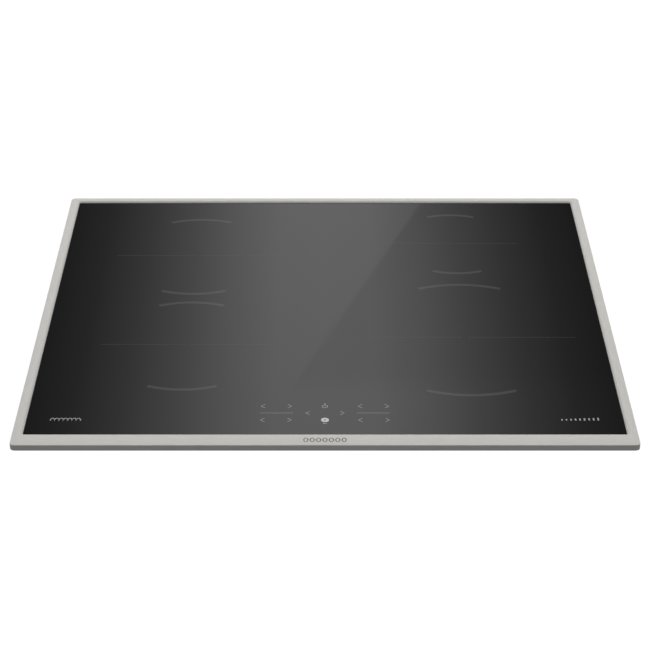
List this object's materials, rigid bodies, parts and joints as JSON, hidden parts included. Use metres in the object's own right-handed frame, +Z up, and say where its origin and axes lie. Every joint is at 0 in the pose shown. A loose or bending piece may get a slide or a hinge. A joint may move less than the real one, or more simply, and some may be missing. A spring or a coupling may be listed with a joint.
{
  "type": "electric induction cooktop",
  "caption": "Built-in induction cooktop: black glass in a brushed steel frame over a sheet-steel pan with coils, fan and power boards.",
  "frame": {"origin": "centre of the worktop cut-out, on the worktop surface under the sealing strip", "axes": "+X right, +Y towards the back wall, +Z up out of the worktop"},
  "size_m": [0.6, 0.53, 0.0548],
  "materials": {
    "frame_steel": "satin, brushed along each side",
    "ceramic_glass": "polished black ceramic glass",
    "black_silicone": "matte",
    "sealing_foam": "matte foam",
    "pan_steel": "galvanised sheet",
    "carrier_aluminium": "mill finish",
    "steel_pins": "zinc plated",
    "spring_steel": "bright drawn wire",
    "copper_litz": "enamelled copper litz",
    "former_plastic": "moulded",
    "ferrite": "sintered",
    "mica": "pressed mica sheet",
    "white_plastic": "moulded",
    "lead_sleeve": "woven sleeve",
    "circuit_board": "solder mask",
    "heatsink_aluminium": "extruded",
    "chip_plastic": "moulded epoxy",
    "capacitor_plastic": "moulded case",
    "capacitor_can": "shrink sleeve",
    "choke_copper": "enamelled copper",
    "black_plastic": "fine spark-eroded texture",
    "motor_steel": "plain",
    "brass": "machined",
    "gland_rubber": "matte",
    "display_red": "tinted window"
  },
  "bodies": {
    "chassis": {"trim_frame": "frame_steel", "glass_panel": "ceramic_glass", "edge_seal": "black_silicone", "glass_bond": "black_silicone", "worktop_gasket": "sealing_foam", "bottom_pan": "pan_steel", "carrier_posts": "steel_pins", "carrier_springs_left": "spring_steel", "carrier_springs_right": "spring_steel", "coil_leads_left": "lead_sleeve", "coil_leads_right": "lead_sleeve", "power_board_left": "circuit_board", "power_board_right": "circuit_board", "heatsink_left": "heatsink_aluminium", "heatsink_right": "heatsink_aluminium", "transistors": "chip_plastic", "board_spacers": "white_plastic", "board_screws": "steel_pins", "film_capacitors": "capacitor_plastic", "bus_capacitors": "capacitor_can", "board_chokes": "choke_copper", "fan_housing": "black_plastic", "fan_motor": "motor_steel", "filter_board": "circuit_board", "filter_parts": "choke_copper", "terminal_box": "black_plastic", "terminal_bezel": "black_plastic", "terminal_block": "white_plastic", "terminal_screws": "brass", "cable_gland": "gland_rubber", "touch_board": "circuit_board", "touch_tray": "black_plastic", "touch_pads": "gland_rubber", "displays": "display_red", "clamp_brackets": "pan_steel"},
    "carrier_left": {"coil_carrier_left": "carrier_aluminium", "winding_rear_left": "copper_litz", "winding_front_left": "copper_litz", "former_rear_left": "former_plastic", "former_front_left": "former_plastic", "ferrites_left": "ferrite", "mica_left": "mica", "sensors_left": "white_plastic"},
    "carrier_right": {"coil_carrier_right": "carrier_aluminium", "winding_rear_right": "copper_litz", "winding_front_right": "copper_litz", "former_rear_right": "former_plastic", "former_front_right": "former_plastic", "ferrites_right": "ferrite", "mica_right": "mica", "sensors_right": "white_plastic"},
    "fan": {"fan_rotor": "black_plastic", "fan_shaft": "steel_pins"},
    "lid": {"terminal_lid": "black_plastic"},
    "screw_left": {"clamp_screw_left": "steel_pins"},
    "nut_left": {"clamp_nut_left": "brass"},
    "arm_left": {"clamp_arm_left": "steel_pins"},
    "screw_right": {"clamp_screw_right": "steel_pins"},
    "nut_right": {"clamp_nut_right": "brass"},
    "arm_right": {"clamp_arm_right": "steel_pins"}
  },
  "joints": [
    {"name": "fan_spin", "type": "hinge", "parent": "chassis", "child": "fan", "pos_m": [0, 0.15, -0.032], "axis": [0, 0, 1], "continuous": true},
    {"name": "lid_hinge", "type": "hinge", "parent": "chassis", "child": "lid", "pos_m": [-0.167, 0.2418, -0.011], "axis": [1, 0, 0], "range_deg": [0, 90]},
    {"name": "carrier_float_left", "type": "slide", "parent": "chassis", "child": "carrier_left", "axis": [0, 0, 1], "range_m": [-0.002, 0], "stiffness_N_per_m": 6000, "springref_m": 0.006, "deforming": ["carrier_springs_left", "coil_leads_left"]},
    {"name": "carrier_float_right", "type": "slide", "parent": "chassis", "child": "carrier_right", "axis": [0, 0, 1], "range_m": [-0.002, 0], "stiffness_N_per_m": 6000, "springref_m": 0.006, "deforming": ["carrier_springs_right", "coil_leads_right"]},
    {"name": "clamp_turn_left", "type": "hinge", "parent": "chassis", "child": "screw_left", "pos_m": [-0.273, 0, -0.025], "axis": [0, 0, 1], "range_deg": [0, 8229]},
    {"name": "clamp_lift_left", "type": "slide", "parent": "chassis", "child": "nut_left", "axis": [0, 0, 1], "range_m": [0, 0.016]},
    {"name": "clamp_swing_left", "type": "hinge", "parent": "nut_left", "child": "arm_left", "pos_m": [-0.273, 0, -0.033], "axis": [0, 0, 1], "range_deg": [0, 90]},
    {"name": "clamp_turn_right", "type": "hinge", "parent": "chassis", "child": "screw_right", "pos_m": [0.273, 0, -0.025], "axis": [0, 0, 1], "range_deg": [0, 8229]},
    {"name": "clamp_lift_right", "type": "slide", "parent": "chassis", "child": "nut_right", "axis": [0, 0, 1], "range_m": [0, 0.016]},
    {"name": "clamp_swing_right", "type": "hinge", "parent": "nut_right", "child": "arm_right", "pos_m": [0.273, 0, -0.033], "axis": [0, 0, 1], "range_deg": [-90, 0]}
  ],
  "couplings": [
    {"joint": "clamp_turn_left", "follows": "clamp_lift_left", "rad_per_m": 8976},
    {"joint": "clamp_turn_right", "follows": "clamp_lift_right", "rad_per_m": 8976}
  ]
}
